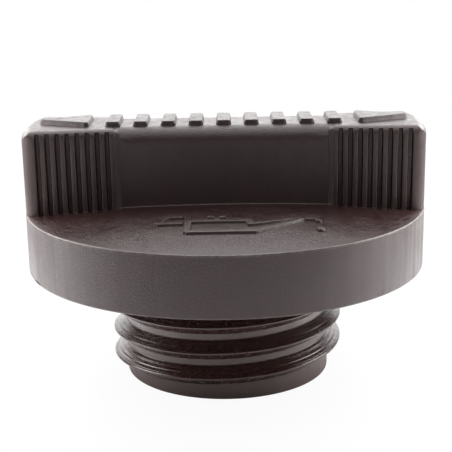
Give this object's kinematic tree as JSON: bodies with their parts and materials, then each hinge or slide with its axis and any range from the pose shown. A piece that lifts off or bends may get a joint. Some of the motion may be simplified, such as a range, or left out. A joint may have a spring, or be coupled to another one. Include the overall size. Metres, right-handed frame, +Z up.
{
  "type": "oil filler cap",
  "caption": "Screw-in engine oil filler cap with a ribbed grip bar across a round flange, a threaded hollow boss and a rubber sealing ring.",
  "frame": {"origin": "centre of the threaded boss's lower end, on the plane the cap stands on", "axes": "+Z up along the thread's axis, out of the filler neck; +X along the grip bar; -Y towards the side the picture shows"},
  "size_m": [0.0544, 0.0544, 0.0347],
  "materials": {
    "moulded_plastic": "satin, dark warm grey, lightly grained",
    "seal_rubber": "matt black"
  },
  "bodies": {
    "root": {"cap_body": "moulded_plastic", "sealing_gasket": "seal_rubber"}
  },
  "joints": []
}
